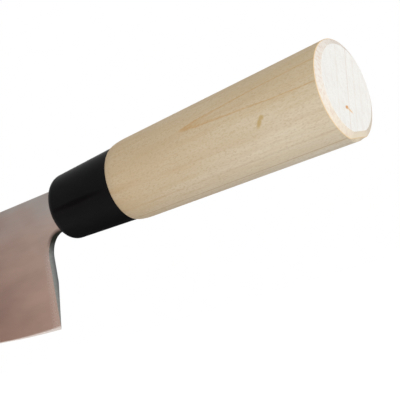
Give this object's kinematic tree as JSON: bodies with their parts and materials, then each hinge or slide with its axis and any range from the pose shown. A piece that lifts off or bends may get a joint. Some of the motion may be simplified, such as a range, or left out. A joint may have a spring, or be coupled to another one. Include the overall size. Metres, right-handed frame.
{
  "type": "deba knife",
  "caption": "Single-bevel fish and butchery knife with a hollow-ground back, round throat, slotted oval ferrule and tapered oval wooden grip.",
  "frame": {"origin": "under the middle of the knife's length, level with the heel corner of the edge, in the middle plane of the handle", "axes": "+X towards the butt, -X towards the tip, +Y out of the bevelled right-hand face, -Y out of the hollow flat back, +Z towards the spine"},
  "size_m": [0.287, 0.024, 0.0529],
  "materials": {
    "blade_steel": "fine satin grind along the blade, stainless",
    "ferrule_resin": "black moulded resin, soft gloss",
    "grip_wood": "bare sanded magnolia, end grain on the butt",
    "bedding_resin": "cured amber resin, hidden inside the grip"
  },
  "bodies": {
    "root": {"blade": "blade_steel", "ferrule": "ferrule_resin", "grip": "grip_wood", "tang_bedding": "bedding_resin"}
  },
  "joints": []
}
